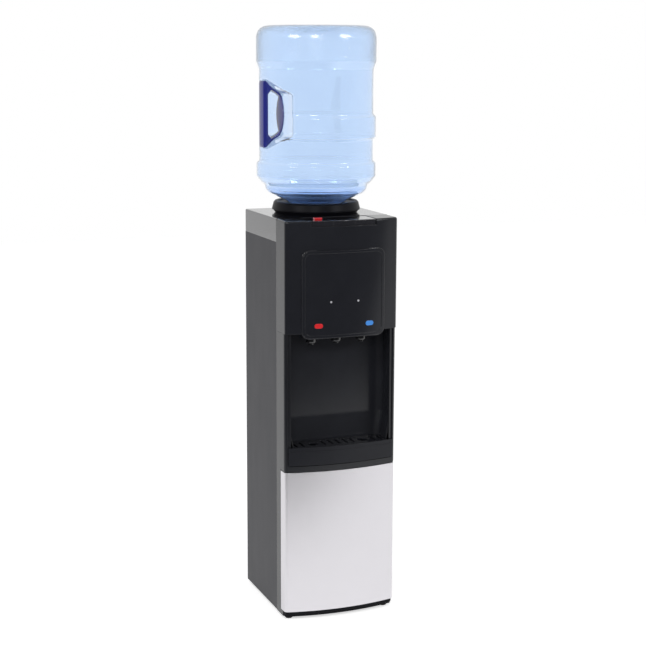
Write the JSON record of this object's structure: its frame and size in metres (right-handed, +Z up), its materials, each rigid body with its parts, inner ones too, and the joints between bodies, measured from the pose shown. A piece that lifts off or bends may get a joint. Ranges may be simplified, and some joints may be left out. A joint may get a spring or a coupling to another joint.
{
  "type": "top-loading water cooler",
  "caption": "Slim free-standing water cooler: push keys over a cup alcove, pull-out drip tray with a grille, rear condenser, lift-off inverted bottle with a side handle.",
  "frame": {"origin": "on the floor, under the middle of the overall bounding box", "axes": "+Z up, -Y the front that faces the user, +X to the right of someone facing the front"},
  "size_m": [0.2799, 0.3342, 1.374],
  "materials": {
    "cover_black": "satin",
    "front_black": "semi-gloss",
    "alcove_black": "gloss",
    "side_black": "satin",
    "stainless": "brushed",
    "rear_black": "matte",
    "screw_steel": "plated",
    "tap_black": "gloss",
    "hot_red": "gloss",
    "cold_blue": "gloss",
    "window_dark": "translucent",
    "bottle_blue": "clear moulded",
    "handle_blue": "gloss",
    "cap_white": "gloss",
    "tank_steel": "drawn",
    "foam_white": "expanded foam",
    "tube_clear": "silicone",
    "line_copper": "copper",
    "compressor_black": "enamelled",
    "rubber_black": "matte",
    "galvanised": "galvanised",
    "spring_steel": "bright",
    "inner_plastic": "natural",
    "switch_red": "gloss",
    "switch_green": "gloss"
  },
  "bodies": {
    "cabinet": {"top_cover": "cover_black", "bottle_collar": "front_black", "upper_front_panel": "front_black", "bezel_plate": "front_black", "hot_lens": "hot_red", "cold_lens": "cold_blue", "indicator_windows": "window_dark", "alcove_liner": "alcove_black", "front_frame": "cover_black", "lower_front_panel": "stainless", "base_plinth": "cover_black", "feet": "rubber_black", "side_panel_left": "side_black", "side_panel_right": "side_black", "rear_panel": "rear_black", "rear_screws": "screw_steel", "key_carrier": "inner_plastic", "hot_tap": "tap_black", "room_tap": "tap_black", "cold_tap": "tap_black", "feed_probe": "inner_plastic", "tank_seal": "tube_clear", "cold_tank": "tank_steel", "evaporator_coil": "line_copper", "cold_tank_insulation": "foam_white", "tank_shelf": "galvanised", "hot_tank": "tank_steel", "heater_thermostats": "inner_plastic", "hot_tube": "tube_clear", "cold_tube": "tube_clear", "room_tube": "tube_clear", "fill_tube": "tube_clear", "compressor": "compressor_black", "compressor_mounts": "rubber_black", "condenser_coil": "rear_black", "condenser_wires": "rear_black", "filter_drier": "line_copper", "discharge_line": "line_copper", "suction_line": "line_copper", "switch_plate": "cover_black", "cord_inlet": "rubber_black", "drain_fitting": "inner_plastic"},
    "hot_key": {"hot_key": "front_black", "push_rod_hot": "inner_plastic", "valve_spring_hot": "spring_steel"},
    "room_key": {"room_key": "front_black", "push_rod_room": "inner_plastic", "valve_spring_room": "spring_steel"},
    "cold_key": {"cold_key": "front_black", "push_rod_cold": "inner_plastic", "valve_spring_cold": "spring_steel"},
    "child_lock": {"child_lock": "hot_red"},
    "drip_tray": {"drip_tray": "front_black"},
    "drip_grille": {"drip_grille": "front_black"},
    "bottle": {"bottle": "bottle_blue", "bottle_handle": "handle_blue", "bottle_cap": "cap_white"},
    "hot_switch": {"hot_switch": "switch_red"},
    "cold_switch": {"cold_switch": "switch_green"},
    "drain_cap": {"drain_cap": "front_black"}
  },
  "joints": [
    {"name": "hot_key_press", "type": "slide", "parent": "cabinet", "child": "hot_key", "axis": [0, 0, -1], "range_m": [0, 0.008], "stiffness_N_per_m": 400, "springref_m": -0.005, "deforming": ["valve_spring_hot"]},
    {"name": "room_key_press", "type": "slide", "parent": "cabinet", "child": "room_key", "axis": [0, 0, -1], "range_m": [0, 0.008], "stiffness_N_per_m": 400, "springref_m": -0.005, "deforming": ["valve_spring_room"]},
    {"name": "cold_key_press", "type": "slide", "parent": "cabinet", "child": "cold_key", "axis": [0, 0, -1], "range_m": [0, 0.008], "stiffness_N_per_m": 400, "springref_m": -0.005, "deforming": ["valve_spring_cold"]},
    {"name": "child_lock_slide", "type": "slide", "parent": "hot_key", "child": "child_lock", "axis": [0, 1, 0], "range_m": [0, 0.006], "stiffness_N_per_m": 100, "springref_m": -0.002},
    {"name": "drip_tray_pull", "type": "slide", "parent": "cabinet", "child": "drip_tray", "axis": [0, -1, 0], "range_m": [0, 0.12]},
    {"name": "drip_grille_lift", "type": "slide", "parent": "drip_tray", "child": "drip_grille", "axis": [0, 0, 1], "range_m": [0, 0.03]},
    {"name": "bottle_lift", "type": "slide", "parent": "cabinet", "child": "bottle", "axis": [0, 0, 1], "range_m": [0, 0.15]},
    {"name": "hot_switch_rock", "type": "hinge", "parent": "cabinet", "child": "hot_switch", "pos_m": [0.055, 0.1443, 0.76], "axis": [1, 0, 0], "range_deg": [-20, 0]},
    {"name": "cold_switch_rock", "type": "hinge", "parent": "cabinet", "child": "cold_switch", "pos_m": [0.081, 0.1443, 0.76], "axis": [1, 0, 0], "range_deg": [-20, 0]},
    {"name": "drain_cap_off", "type": "slide", "parent": "cabinet", "child": "drain_cap", "axis": [0, 1, 0], "range_m": [0, 0.02]}
  ]
}
